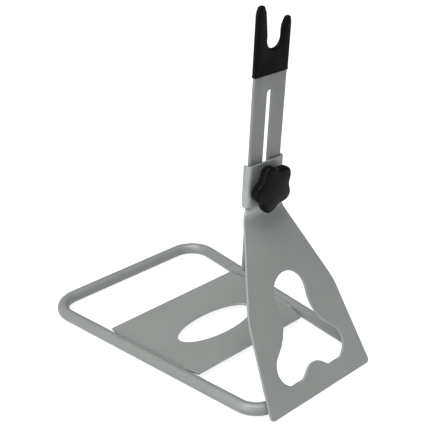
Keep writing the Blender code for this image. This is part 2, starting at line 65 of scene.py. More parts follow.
# Soft studio light
WORLD_STRENGTH = 0.3
KEY_PLACE = (-1.7, -0.25, 0.75)
KEY_SIZE = 1.4
KEY_POWER = 30.0
TOP_PLACE = (-0.6, -0.2, 3.0)
TOP_SIZE = 2.0
TOP_POWER = 132.0
FILL_PLACE = (-0.8, -1.05, 0.75)
FILL_SIZE = 0.35
FILL_POWER = 1.6
LIGHT_AIM = Vector((0, 0, 0.12))
FLOOR_HALF_SIZE = 20.0
FLOOR_GLOW = 0.82

# Floor tube
TUBE_SIDES = 48
BORE_SIDES = 24
TUBE_WALL = 1.2 * MM
FRONT_WIDTH = 148.5 * MM
REAR_WIDTH = 208 * MM
FRONT_BEND_RADIUS = 24 * MM
REAR_BEND_RADIUS = 27 * MM
BEND_STEP = math.radians(3)
VENT_RADIUS = 2 * MM
VENT_X = 45 * MM

# Mesh cleaning
SHARP_ANGLE = math.radians(32)
WELD_DISTANCE = 0.08 * MM
FLAT_ANGLE = math.radians(0.4)

# Sheet parts
PLATE_LEAN = math.radians(26.7)
SHEET_EDGE = 0.5 * MM
SLOT_EDGE = 0.25 * MM
FLAT_MARGIN = 0.3 * MM
RELIEF_BAND = -20.5 * MM, -17.5 * MM  # heights of the slits under the ears, from the bolt

# Weld beads
BEAD_RADIUS = 1.9 * MM
BEAD_SIDES = 14
BEAD_STEP = 0.35 * MM
BEAD_RIPPLE = 1.7 * MM
BEAD_RIPPLE_DEPTH = 0.16
BEAD_SWELL = 0.08
BEAD_ROUGHNESS = 0.07
BEAD_SWELL_LENGTH = 4 * MM
BEAD_END = 2.5 * MM
BEAD_SINK = 0.3 * MM  # of its middle below the plate's face
BEAD_WANDER = 0.25 * MM
SIDE_BEAD_INSET = 20 * MM
SIDE_BEAD_OFFSET = 0.4 * MM
FOOT_BEAD_HALF_LENGTH = 52 * MM
FOOT_BEAD_OFFSET = 3.2 * MM

# Rubber fork cap, measured up from its bottom edge
NOTCH_FLOOR = 23.4 * MM
NOTCH_HALF_WIDTH = 8.75 * MM
NOTCH_SHIFT = 1.45 * MM  # towards the short prong
LONG_PRONG_WIDTH = 10.6 * MM
LONG_PRONG_BEND = 36.4 * MM
SHORT_PRONG_TIP = 48.9 * MM
SHORT_PRONG_WIDTH = 9.6 * MM
SHORT_PRONG_BEND = 38 * MM
PRONG_BEND_RADIUS = 9 * MM
PRONG_TAPER_HEIGHT = 6 * MM
LONG_PRONG_TAPERS = 0.25, 0.25  # shares of its width lost at the tip, outer and inner side
SHORT_PRONG_TAPERS = 0.14, 0.36
PRONG_TIP_ROUNDING = 0.3
BOOT_CORNER_RADIUS = 2.6 * MM
BOOT_ROUNDING = 2.3 * MM
BOOT_WALL = 0.7 * MM
LIP_HEIGHT = 3 * MM
LIP_RISE = 0.35 * MM
LIP_STEPS = 8
LIP_SIDE = 15 * MM  # the cap's sides lie farther out than this
LIP_FACE = 0.1 * MM
NOTCH_ROUNDNESS = 0.97  # of the notch's floor, 1 being a half circle

# Star knob
KNOB_LOBES = 5
KNOB_LOBE_ANGLE = math.radians(38.5)
KNOB_MEAN_RADIUS = 21.4 * MM
KNOB_LOBE_DEPTH = 2.7 * MM
KNOB_HUB_RADIUS = 8.5 * MM
KNOB_BACK = 8.2 * MM
KNOB_RIM_DROP = 1.6 * MM
KNOB_ROUNDING = 3.2 * MM
KNOB_POCKET_RADIUS = 6.05 * MM
KNOB_POCKET_DEPTH = 6.6 * MM
KNOB_BORE_END = 15.5 * MM
KNOB_HUB_EDGE = 0.4 * MM
KNOB_BACK_ROUNDING = 0.6  # as a share of its front rounding
KNOB_WAVE = 0.15 * MM  # by which its lobes stand back at the rim
KNOB_TURN_STEPS = 7
ROUND_POINTS = 160

# Clamp metal
CLAMP_GAP = 0.3 * MM  # between the bolt head and the bar
SHANK_RADIUS = 3 * MM
BOLT_HOLE_RADIUS = 3.4 * MM
THREAD_PITCH = 1 * MM
THREAD_DEPTH = 0.5 * MM
NECK_WIDTH = 6.2 * MM
NECK_ROUNDING = 0.4 * MM
HEAD_START = 3  # degrees from the crown of its head, to keep the crown's ring open
HEAD_END = 80
HEAD_STEPS = 10
THREAD_STEPS = 8  # rings to a turn
THREAD_FLANK = 1.15  # above 1 the thread's roots are flat
METAL_EDGE = 0.2 * MM
TURNED_POINTS = 48


# ---- places read from the frame ----

def clamp_frame():
    """Frame of the clamp, from the record's joints."""
    joints = {joint["name"]: joint for joint in frame["record"]["behaviour"]["joints"]}
    up = Vector(joints["fork_slide"]["axis"])
    front = Vector(joints["knob_turn"]["axis"])
    turn = Matrix(((1, 0, 0), (0, up.y, front.y), (0, up.z, front.z))).to_4x4()
    return Matrix.Translation(joints["knob_turn"]["pos_m"]) @ turn


CLAMP = clamp_frame()


def clamp_box(node):
    """Lowest and highest corner of a CAD node, measured in the clamp frame."""
    inverse = CLAMP.inverted()
    points = [inverse @ vert.co for vert in frame["nodes"][node].data.vertices]
    low = Vector(min(point[axis] for point in points) for axis in range(3))
    high = Vector(max(point[axis] for point in points) for axis in range(3))
    return low, high


TUBE_LOW, TUBE_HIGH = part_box("base_frame")
TUBE_REACH = TUBE_HIGH.z / 2  # from the tube's centre line to its flats
FRONT_AXIS_Y = TUBE_LOW.y + TUBE_REACH
REAR_AXIS_Y = TUBE_HIGH.y - TUBE_REACH
CROSS_LOW, CROSS_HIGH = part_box("cross_plate")
BOOT_LOW, BOOT_HIGH = clamp_box("fork_boot")
BAR_LOW, BAR_HIGH = clamp_box("slotted_bar")
BOLT_LOW, BOLT_HIGH = clamp_box("carriage_bolt")
WASHER_LOW, WASHER_HIGH = clamp_box("clamp_washer")
KNOB_LOW, KNOB_HIGH = clamp_box("clamp_knob")


# ---- outlines ----

def arc(centre, radius, start, end, step):
    """Points of an arc from angle start to angle end."""
    steps = max(2, math.ceil(abs(end - start) / step))
    angles = [start + (end - start) * i / steps for i in range(steps + 1)]
    return [(centre[0] + radius * math.cos(a), centre[1] + radius * math.sin(a)) for a in angles]


def rounded(corners, step):
    """Closed outline through corners (x, y, radius), with an arc at each of them."""
    points = []
    for i, (x, y, radius) in enumerate(corners):
        here = Vector((x, y))
        before = (Vector(corners[i - 1][:2]) - here).normalized()
        after = (Vector(corners[(i + 1) % len(corners)][:2]) - here).normalized()
        half = before.angle(after) / 2
        centre = here + (before + after).normalized() * radius / math.sin(half)
        start = here + before * radius / math.tan(half) - centre
        end = here + after * radius / math.tan(half) - centre
        first = math.atan2(start.y, start.x)
        turn = (math.atan2(end.y, end.x) - first + math.pi) % math.tau - math.pi
        points += arc(centre, radius, first, first + turn, step)
    return points


def ring_path():
    """Centre line of the floor tube."""
    half = [
        (FRONT_WIDTH / 2, FRONT_AXIS_Y, FRONT_BEND_RADIUS),
        (REAR_WIDTH / 2, REAR_AXIS_Y, REAR_BEND_RADIUS),
    ]
    return rounded(half + [(-x, y, radius) for x, y, radius in reversed(half)], BEND_STEP)


def prong_tip(outer, inner, top, tapers):
    """Corners of a prong's tapered tip, from its outer side to its inner side."""
    width = inner - outer
    shoulder = top - PRONG_TAPER_HEIGHT
    blend = abs(width)
    corner = blend * PRONG_TIP_ROUNDING
    return [
        (outer, shoulder, blend),
        (outer + width * tapers[0], top, corner),
        (inner - width * tapers[1], top, corner),
        (inner, shoulder, blend),
    ]


def boot_outline(inset, bottom, corner):
    """Outline of the fork cap or, with an inset, of the pocket inside it."""
    low = BOOT_LOW.y
    outer = BOOT_HIGH.x - inset
    notch = NOTCH_HALF_WIDTH + inset
    notch_right = NOTCH_SHIFT + notch
    notch_left = NOTCH_SHIFT - notch
    short_inner = outer - SHORT_PRONG_WIDTH + 2 * inset
    long_inner = -outer + LONG_PRONG_WIDTH - 2 * inset
    floor = low + NOTCH_FLOOR - inset
    floor_radius = notch * NOTCH_ROUNDNESS
    corners = [
        (-outer, bottom, corner),
        (outer, bottom, corner),
        *prong_tip(outer, short_inner, low + SHORT_PRONG_TIP - inset, SHORT_PRONG_TAPERS),
        (notch_right, low + SHORT_PRONG_BEND, PRONG_BEND_RADIUS),
        (notch_right, floor, floor_radius),
        (notch_left, floor, floor_radius),
        (notch_left, low + LONG_PRONG_BEND, PRONG_BEND_RADIUS),
        *reversed(prong_tip(-outer, long_inner, BOOT_HIGH.y - inset, LONG_PRONG_TAPERS)),
    ]
    return rounded(corners, math.radians(6))


def circle(radius, height, sides):
    """Level ring of points around the third axis."""
    angles = [math.tau * i / sides for i in range(sides)]
    return [(radius * math.cos(a), radius * math.sin(a), height) for a in angles]


# ---- mesh work ----

def loft(rings, closed=False, bm=None):
    """Skin through rings with equal numbers of points, closed on itself or with a cap on each end."""
    bm = bm or bmesh.new()
    loops = [[bm.verts.new(point) for point in ring] for ring in rings]
    following = loops[1:] + loops[:1] if closed else loops[1:]
    for low, high in zip(loops, following):
        for i in range(len(low)):
            bm.faces.new((low[i - 1], low[i], high[i], high[i - 1]))
    if not closed:
        bm.faces.new(loops[0])
        bm.faces.new(loops[-1])
    return bm


def prism(outline, low, high):
    """Straight solid on an outline."""
    return loft([[(x, y, low) for x, y in outline], [(x, y, high) for x, y in outline]])


def solid(name, bm, place=None):
    """Object of a closed bmesh, smooth except across sharp edges."""
    bmesh.ops.recalc_face_normals(bm, faces=bm.faces)
    mesh = bpy.data.meshes.new(name)
    bm.to_mesh(mesh)
    bm.free()
    mesh.shade_smooth()
    mesh.set_sharp_from_angle(angle=SHARP_ANGLE)
    obj = bpy.data.objects.new(name, mesh)
    obj.matrix_world = place or Matrix()
    bpy.context.scene.collection.objects.link(obj)
    return obj


def soften(obj, width, segments, limit):
    """Round the edges that are sharper than the limit."""
    bevel = obj.modifiers.new("soft_edges", "BEVEL")
    bevel.width = width
    bevel.segments = segments
    bevel.limit_method = "ANGLE"
    bevel.angle_limit = math.radians(limit)
    bevel.use_clamp_overlap = False
    bevel.harden_normals = True


def settle(obj):
    """Make the modified mesh of an object its own mesh."""
    bpy.context.view_layer.update()
    graph = bpy.context.evaluated_depsgraph_get()
    obj.data = bpy.data.meshes.new_from_object(obj.evaluated_get(graph))
    obj.modifiers.clear()


def spare_relief(obj):
    """Keep the rounding of a plate's edges off its narrow relief slits."""
    inverse = CLAMP.inverted()
    low, high = RELIEF_BAND
    bm = bmesh.new()
    bm.from_mesh(obj.data)
    weight = bm.edges.layers.float.new("bevel_weight_edge")
    for edge in bm.edges:
        heights = [(inverse @ vert.co).y for vert in edge.verts]
        near = any(low < height < high for height in heights)
        edge[weight] = float(not near and edge.calc_face_angle() > SHARP_ANGLE)
    bm.to_mesh(obj.data)
    bm.free()
    obj.modifiers["soft_edges"].limit_method = "WEIGHT"


def line_flats(obj, margin):
    """Draw a narrow margin round the flats of a sheet part, so that only its edges take the lighter paint of
    wear and painted highlight.
    """
    obj.modifiers["soft_edges"].harden_normals = False
    settle(obj)
    bm = bmesh.new()
    bm.from_mesh(obj.data)
    flats = [
        face for face in bm.faces if face.calc_area() > 2 * margin * face.calc_perimeter()
    ]
    bmesh.ops.inset_region(bm, faces=flats, thickness=margin)
    bm.to_mesh(obj.data)
    bm.free()
    obj.data.shade_smooth()
    obj.data.set_sharp_from_angle(angle=SHARP_ANGLE)


def carve(obj, *cutters):
    """Cut solids out of an object and remove them."""
    for cutter in cutters:
        boolean = obj.modifiers.new("cut", "BOOLEAN")
        boolean.operation = "DIFFERENCE"
        boolean.solver = "EXACT"
        boolean.object = cutter
    settle(obj)
    for cutter in cutters:
        bpy.data.objects.remove(cutter, do_unlink=True)


def dress(obj, material, body, node=None):
    """Give a piece its material and its body, and hide the CAD node that it stands for."""
    obj.data.materials.clear()
    obj.data.materials.append(material)
    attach(obj, body)
    if node:
        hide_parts(node)


def refined(name, node):
    """Copy of a CAD node with its flats cleaned up."""
    bm = bmesh.new()
    bm.from_mesh(frame["nodes"][node].data)
    bmesh.ops.remove_doubles(bm, verts=bm.verts, dist=WELD_DISTANCE)
    bmesh.ops.dissolve_limit(bm, angle_limit=FLAT_ANGLE, verts=bm.verts, edges=bm.edges)
    return solid(name, bm)


# ---- steel pieces ----

def swept_tube(radius, sides):
    """Closed skin of a round tube along the floor frame's centre line."""
    path = ring_path()
    rings = []
    for i, point in enumerate(path):
        along = (Vector(path[(i + 1) % len(path)]) - Vector(path[i - 1])).normalized()
        side = Vector((along.y, -along.x, 0))
        middle = Vector((point[0], point[1], TUBE_REACH))
        angles = [math.tau * (k + 0.5) / sides - math.pi / 2 for k in range(sides)]
        rings.append([
            middle + (side * math.cos(a) + Vector((0, 0, math.sin(a)))) * radius for a in angles
        ])
    return loft(rings, closed=True)


def make_tube_ring(paint):
    """Floor tube, hollow, with the small vent hole under its rear run."""
    tube = solid("tube_ring", swept_tube(TUBE_REACH / math.cos(math.pi / TUBE_SIDES), TUBE_SIDES))
    bore = solid("tube_bore", swept_tube(TUBE_REACH - TUBE_WALL, BORE_SIDES))
    hole = loft([circle(VENT_RADIUS, z, BORE_SIDES) for z in (-TUBE_WALL, 2 * TUBE_WALL)])
    vent = solid("tube_vent", hole, Matrix.Translation((VENT_X, REAR_AXIS_Y, 0)))
    carve(tube, bore, vent)
    dress(tube, paint, "stand", "base_frame")


def make_sheets(cross_paint, plate_paint, bar_paint):
    """The cross plate, the folded front plate and the slotted bar, with broken edges."""
    cross = refined("cross_sheet", "cross_plate")
    soften(cross, SHEET_EDGE, 3, 40)
    line_flats(cross, FLAT_MARGIN)
    dress(cross, cross_paint, "stand", "cross_plate")
    plate = refined("front_sheet", "front_plate")
    soften(plate, SHEET_EDGE, 3, 40)
    spare_relief(plate)
    dress(plate, plate_paint, "stand", "front_plate")
    bar = refined("sliding_bar", "slotted_bar")
    soften(bar, SLOT_EDGE, 3, 60)
    dress(bar, bar_paint, "fork", "slotted_bar")


def bead_ring(place, side, lift, size, seed):
    """One ring of points of a weld bead."""
    ring = []
    for k in range(BEAD_SIDES):
        angle = math.tau * k / BEAD_SIDES
        point = place + (side * math.cos(angle) + lift * math.sin(angle)) * size
        grain = noise.noise(point / MM + Vector((seed, 0, 0)))
        ring.append(point + (point - place) * grain * BEAD_ROUGHNESS)
    return ring


def make_bead(name, start, end, paint, seed):
    """Weld bead with ripples along it and rounded ends."""
    along = end - start
    length = along.length
    along.normalize()
    side = along.cross(Vector((0, 0, 1))).normalized()
    lift = side.cross(along)
    steps = round(length / BEAD_STEP)
    rings = []
    for i in range(steps + 1):
        reach = length * i / steps
        to_end = min(reach, length - reach)
        taper = math.sqrt(min(1, (to_end + BEAD_STEP / 2) / BEAD_END))
        crest = abs(math.sin(math.pi * reach / BEAD_RIPPLE))
        ripple = 1 - BEAD_RIPPLE_DEPTH + BEAD_RIPPLE_DEPTH * crest
        wander = noise.noise(Vector((reach / BEAD_SWELL_LENGTH, seed, 0)))
        size = BEAD_RADIUS * taper * (ripple + BEAD_SWELL * wander)
        place = start + along * reach + side * wander * BEAD_WANDER
        rings.append(bead_ring(place, side, lift, size, seed))
    bead = solid(name, loft(rings))
    dress(bead, paint, "stand")


def side_seam(y, sign):
    """Place across X of the seam between the cross plate and a side tube."""
    share = (y - FRONT_AXIS_Y) / (REAR_AXIS_Y - FRONT_AXIS_Y)
    centre = (FRONT_WIDTH + (REAR_WIDTH - FRONT_WIDTH) * share) / 2
    return sign * (centre - TUBE_REACH - SIDE_BEAD_OFFSET)


def make_beads(paint):
    """Beads on both faces of the cross plate's ends and behind the front plate's foot."""
    front = CROSS_LOW.y + SIDE_BEAD_INSET
    rear = CROSS_HIGH.y - SIDE_BEAD_INSET
    faces = {"top": CROSS_HIGH.z - BEAD_SINK, "under": CROSS_LOW.z + BEAD_SINK}
    seed = 1
    for side, sign in (("left", -1), ("right", 1)):
        for face, z in faces.items():
            start = Vector((side_seam(front, sign), front, z))
            end = Vector((side_seam(rear, sign), rear, z))
            make_bead(f"bead_{side}_{face}", start, end, paint, seed)
            seed += 1
    up = Vector((0, math.sin(PLATE_LEAN), math.cos(PLATE_LEAN)))
    out = Vector((0, -math.cos(PLATE_LEAN), math.sin(PLATE_LEAN)))
    touch = Vector((0, FRONT_AXIS_Y, TUBE_REACH)) + out * TUBE_REACH
    for face, sign in (("above", 1), ("below", -1)):
        place = touch + up * FOOT_BEAD_OFFSET * sign
        half = Vector((FOOT_BEAD_HALF_LENGTH, 0, 0))
        make_bead(f"bead_foot_{face}", place - half, place + half, paint, seed)
        seed += 1


# ---- fork cap, knob and clamp metal ----

def raise_lip(obj):
    """Swell the cap's open end into a soft lip."""
    bm = bmesh.new()
    bm.from_mesh(obj.data)
    for i in range(1, LIP_STEPS + 1):
        height = BOOT_LOW.y + LIP_HEIGHT * i / LIP_STEPS
        everything = bm.verts[:] + bm.edges[:] + bm.faces[:]
        bmesh.ops.bisect_plane(bm, geom=everything, plane_co=(0, height, 0), plane_no=(0, 1, 0))
    for vert in bm.verts:
        share = (vert.co.y - BOOT_LOW.y) / LIP_HEIGHT
        if share < 1:
            swell = LIP_RISE * math.sin(math.pi * max(share, 0.2)) ** 2
            if abs(vert.co.z) > LIP_FACE:
                vert.co.z += math.copysign(swell, vert.co.z)
            if abs(vert.co.x) > LIP_SIDE:
                vert.co.x += math.copysign(swell, vert.co.x)
    bm.to_mesh(obj.data)
    bm.free()


def make_fork_cap(rubber):
    """Dipped rubber cap over the fork, soft all round, with a lip at its open end."""
    outline = boot_outline(0, BOOT_LOW.y, BOOT_CORNER_RADIUS)
    cap = solid("fork_cap", prism(outline, BOOT_LOW.z, BOOT_HIGH.z), CLAMP)
    soften(cap, BOOT_ROUNDING, 6, 60)
    settle(cap)
    raise_lip(cap)
    half = BOOT_HIGH.z - BOOT_WALL
    inner = boot_outline(BOOT_WALL, BOOT_LOW.y - LIP_HEIGHT, 0.2 * MM)
    carve(cap, solid("cap_pocket", prism(inner, -half, half), CLAMP))
    cap.data.shade_smooth()
    cap.data.set_sharp_from_angle(angle=math.radians(40))
    dress(cap, rubber, "fork", "fork_boot")


def lobed(scale, height, drop=0):
    """Five-lobed ring of the knob, its lobes dropped back a little against its valleys."""
    ring = []
    for i in range(ROUND_POINTS):
        angle = math.tau * i / ROUND_POINTS
        wave = math.cos(KNOB_LOBES * (angle - KNOB_LOBE_ANGLE))
        radius = (KNOB_MEAN_RADIUS + KNOB_LOBE_DEPTH * wave) * scale
        ring.append((radius * math.cos(angle), radius * math.sin(angle), height - drop * wave))
    return ring


def rounding(turn):
    """Inset and rise, as shares of the radius, at a turn from the side round to the face."""
    return 1 - math.cos(turn), math.sin(turn)


def make_star_knob(plastic):
    """Star knob with rounded rims, a domed face, and a pocket and bore in its hub."""
    hub = KNOB_LOW.z
    rim = KNOB_HIGH.z - KNOB_RIM_DROP
    pocket = hub + KNOB_POCKET_DEPTH
    bore = BOLT_HOLE_RADIUS
    edge = KNOB_HUB_EDGE
    rings = [
        circle(radius, height, ROUND_POINTS)
        for radius, height in (
            (bore, KNOB_BORE_END),
            (bore, pocket),
            (KNOB_POCKET_RADIUS, pocket),
            (KNOB_POCKET_RADIUS, hub + edge),
            (KNOB_POCKET_RADIUS + edge, hub),
            (KNOB_HUB_RADIUS - edge, hub),
            (KNOB_HUB_RADIUS, hub + edge),
            (KNOB_HUB_RADIUS, KNOB_BACK - edge),
            (KNOB_HUB_RADIUS + edge, KNOB_BACK),
        )
    ]
    turns = [math.pi / 2 * i / KNOB_TURN_STEPS for i in range(KNOB_TURN_STEPS + 1)]
    back = KNOB_BACK_ROUNDING * KNOB_ROUNDING
    rings.append(lobed(0.6, KNOB_BACK))
    for turn in reversed(turns):
        inset, rise = rounding(turn)
        rings.append(lobed(1 - inset * back / KNOB_MEAN_RADIUS, KNOB_BACK + back * (1 - rise)))
    for turn in turns:
        inset, rise = rounding(turn)
        scale = 1 - inset * KNOB_ROUNDING / KNOB_MEAN_RADIUS
        rings.append(lobed(scale, rim - KNOB_ROUNDING * (1 - rise), KNOB_WAVE * rise))
    last = 1 - KNOB_ROUNDING / KNOB_MEAN_RADIUS
    for share in (0.9, 0.75, 0.6, 0.45, 0.3, 0.15, 0.03):
        height = rim + KNOB_RIM_DROP * (1 - share**2)
        rings.append(lobed(last * share, height, KNOB_WAVE * share))
    knob = solid("star_knob", loft(rings), CLAMP)
    dress(knob, plastic, "knob", "clamp_knob")


def thread_rings(radius, low, high):
    """Rings of a screw thread around the third axis."""
    steps = round((high - low) / THREAD_PITCH * THREAD_STEPS)
    rings = []
    for i in range(steps + 1):
        height = low + (high - low) * i / steps
        ring = []
        for k in range(TURNED_POINTS):
            angle = math.tau * k / TURNED_POINTS
            phase = (height / THREAD_PITCH - k / TURNED_POINTS) % 1
            depth = THREAD_DEPTH * min(1, abs(2 * phase - 1) * THREAD_FLANK)
            reach = radius - depth
            ring.append((reach * math.cos(angle), reach * math.sin(angle), height))
        rings.append(ring)
    return rings


def make_bolt(zinc):
    """Carriage bolt: domed head, square neck and threaded shank."""
    head = BOLT_HIGH.x
    under = BAR_LOW.z - CLAMP_GAP
    height = under - BOLT_LOW.z
    sweep = HEAD_END - HEAD_START
    turns = [math.radians(HEAD_START + sweep * i / HEAD_STEPS) for i in range(HEAD_STEPS + 1)]
    rings = [
        circle(head * math.sin(a), under - height * math.cos(a), TURNED_POINTS) for a in turns
    ]
    rings += [
        circle(radius, z, TURNED_POINTS)
        for radius, z in (
            (head, under - METAL_EDGE),
            (head - METAL_EDGE, under),
            (SHANK_RADIUS, under),
            (SHANK_RADIUS, BAR_HIGH.z + THREAD_DEPTH),
        )
    ]
    rings += thread_rings(SHANK_RADIUS, BAR_HIGH.z + THREAD_PITCH, BOLT_HIGH.z - THREAD_DEPTH)
    rings.append(circle(SHANK_RADIUS - THREAD_DEPTH, BOLT_HIGH.z, TURNED_POINTS))
    bm = loft(rings)
    half = NECK_WIDTH / 2
    corner = [(-half, -half, NECK_ROUNDING), (half, -half, NECK_ROUNDING)]
    square = rounded(corner + [(-x, -y, radius) for x, y, radius in corner], math.radians(30))
    loft([[(x, y, z) for x, y in square] for z in (under - NECK_ROUNDING, BAR_HIGH.z)], bm=bm)
    bolt = solid("round_head_bolt", bm, CLAMP)
    dress(bolt, zinc, "stand", "carriage_bolt")


def make_washer(zinc):
    """Flat washer, its outer edge rounded as stamped."""
    hole = BOLT_HOLE_RADIUS
    outer = WASHER_HIGH.x
    low = WASHER_LOW.z
    high = WASHER_HIGH.z
    edge = METAL_EDGE
    profile = (
        (hole, low + edge), (hole + edge, low), (outer - edge, low), (outer, low + edge),
        (outer, high - 2 * edge), (outer - edge, high - edge / 2), (outer - 3 * edge, high),
        (hole + edge, high), (hole, high - edge),
    )
    rings = [circle(radius, height, TURNED_POINTS * 2) for radius, height in profile]
    washer = solid("flat_washer", loft(rings, closed=True), CLAMP)
    dress(washer, zinc, "washer", "clamp_washer")


def make_insert(brass):
    """Hexagonal threaded insert in the knob, with broken edges."""
    insert = refined("threaded_insert", "knob_nut")
    soften(insert, METAL_EDGE, 2, 40)
    dress(insert, brass, "knob", "knob_nut")


# ---- materials ----

class Recipe:
    """A Principled material and short ways to add nodes to it."""

    def __init__(self, name, color, roughness, metallic, specular=0.5):
        self.material = bpy.data.materials.new(name)
        self.material.use_nodes = True
        self.nodes = self.material.node_tree.nodes
        self.links = self.material.node_tree.links
        self.shader = self.nodes["Principled BSDF"]
        self.shader.inputs["Base Color"].default_value = (*color, 1)
        self.shader.inputs["Roughness"].default_value = roughness
        self.shader.inputs["Metallic"].default_value = metallic
        self.shader.inputs["Specular IOR Level"].default_value = specular
        self.place = self.nodes.new("ShaderNodeTexCoord").outputs["Object"]

    def put(self, socket, value):
        """Link a socket to a value, or set it."""
        if isinstance(value, bpy.types.NodeSocket):
            self.links.new(value, socket)
        else:
            socket.default_value = value

    def grain(self, scale, detail=3.0, roughness=0.5, stretch=None):
        """Noise in object coordinates, stretched along an axis if asked."""
        place = self.place
        if stretch:
            mapping = self.nodes.new("ShaderNodeMapping")
            mapping.inputs["Scale"].default_value = stretch
            self.links.new(place, mapping.inputs["Vector"])
            place = mapping.outputs["Vector"]
        node = self.nodes.new("ShaderNodeTexNoise")
        self.links.new(place, node.inputs["Vector"])
        node.inputs["Scale"].default_value = scale
        node.inputs["Detail"].default_value = detail
        node.inputs["Roughness"].default_value = roughness
        return node.outputs["Fac"]

    def span(self, value, low, high, to_low=0.0, to_high=1.0):
        """Value mapped from low..high to another range and clamped."""
        node = self.nodes.new("ShaderNodeMapRange")
        self.links.new(value, node.inputs["Value"])
        node.inputs["From Min"].default_value = low
        node.inputs["From Max"].default_value = high
        node.inputs["To Min"].default_value = to_low
        node.inputs["To Max"].default_value = to_high
        return node.outputs["Result"]

    def math(self, operation, first, second):
        """Result of a math node."""
        node = self.nodes.new("ShaderNodeMath")
        node.operation = operation
        self.put(node.inputs[0], first)
        self.put(node.inputs[1], second)
        return node.outputs["Value"]

    def blend(self, share, first, second):
        """Colour between two colours."""
        node = self.nodes.new("ShaderNodeMix")
        node.data_type = "RGBA"
        self.put(node.inputs["Factor"], share)
        for socket, color in zip([s for s in node.inputs if s.type == "RGBA"], (first, second)):
            self.put(socket, color if isinstance(color, bpy.types.NodeSocket) else (*color, 1))
        return [s for s in node.outputs if s.type == "RGBA"][0]

    def edges(self, low, high):
        """Share of wear, painted highlight or painted shade: 1 on convex edges, 0 on flats, or the other way
        with low above high.
        """
        geometry = self.nodes.new("ShaderNodeNewGeometry")
        return self.span(geometry.outputs["Pointiness"], low, high)

    def bump(self, height, strength, distance, below=None):
        """Bump from a height, on top of another bump if given."""
        node = self.nodes.new("ShaderNodeBump")
        node.inputs["Strength"].default_value = strength
        node.inputs["Distance"].default_value = distance
        self.links.new(height, node.inputs["Height"])
        if below:
            self.links.new(below, node.inputs["Normal"])
        return node.outputs["Normal"]

    def finish(self, color, roughness, normal):
        """Link the three results to the shader."""
        self.links.new(color, self.shader.inputs["Base Color"])
        self.links.new(roughness, self.shader.inputs["Roughness"])
        self.links.new(normal, self.shader.inputs["Normal"])
        return self.material


def shade(color, factor):
    """A colour made lighter or darker."""
    return tuple(channel * factor for channel in color)


def powder_coat(name, color, rub=0.0, metallic=0.35, specular=0.5):
    """Silver-grey satin powder coat: fine orange peel, flakes, faint scuffs, worn edges lightened further as
    a painted highlight, and painted shade with weld grime in its creases.
    """
    recipe = Recipe(name, color, 0.42, metallic, specular)
    drift = recipe.span(recipe.grain(14, 4), 0.3, 0.7)
    tone = recipe.blend(drift, shade(color, 0.95), shade(color, 1.05))
    flakes = recipe.span(recipe.grain(2600, 2), 0.56, 0.74, 0.0, 0.55)
    tone = recipe.blend(flakes, tone, shade(color, 1.3))
    patches = recipe.span(recipe.grain(230, 5, 0.7), 0.4, 0.62)
    # Lighter convex edges: worn paint, and also a painted highlight for the bright line that light draws
    # along the sheet edges.
    edge_wear_and_highlight = recipe.math("MULTIPLY", recipe.edges(0.53, 0.62), patches)
    tone = recipe.blend(recipe.math("MULTIPLY", edge_wear_and_highlight, 0.75), tone, shade(color, 1.6))
    # Darker concave creases, bends and weld roots: painted shade where light is blocked, mixed with weld
    # grime.
    crease_shade_and_grime = recipe.math("MULTIPLY", recipe.edges(0.49, 0.42), recipe.span(patches, 0, 1, 0.35, 0.8))
    tone = recipe.blend(crease_shade_and_grime, tone, shade(color, 0.6))
    scuffs = recipe.span(recipe.grain(60, 6, 0.75, (9, 1, 1)), 0.6, 0.74, 0.0, 0.12 + rub)
    gloss = recipe.math("SUBTRACT", recipe.span(recipe.grain(120, 4), 0.3, 0.7, 0.38, 0.47), scuffs)
    gloss = recipe.math("SUBTRACT", gloss, recipe.math("MULTIPLY", edge_wear_and_highlight, 0.1))
    peel = recipe.bump(recipe.grain(850, 2), 0.22, 0.15 * MM)
    speck = recipe.bump(recipe.grain(3200, 1), 0.12, 0.05 * MM, peel)
    return recipe.finish(tone, gloss, speck)


def dipped_rubber(name, color):
    """Black dipped rubber: soft sheen, fine pores, faint dust, and creases under the notch."""
    recipe = Recipe(name, color, 0.45, 0.0, 0.05)
    dust = recipe.span(recipe.grain(90, 6, 0.7), 0.45, 0.75, 0.0, 0.5)
    tone = recipe.blend(dust, shade(color, 0.8), shade(color, 1.9))
    worn = recipe.math("MULTIPLY", recipe.edges(0.52, 0.6), recipe.span(dust, 0, 0.5, 0.3, 1))
    tone = recipe.blend(worn, tone, shade(color, 2.6))
    gloss = recipe.span(recipe.grain(160, 5, 0.65), 0.3, 0.7, 0.36, 0.52)
    pores = recipe.bump(recipe.grain(1500, 3), 0.2, 0.12 * MM)
    waves = recipe.bump(recipe.grain(110, 2), 0.3, 0.5 * MM, pores)
    return recipe.finish(tone, gloss, recipe.bump(notch_creases(recipe), 0.35, 0.3 * MM, waves))


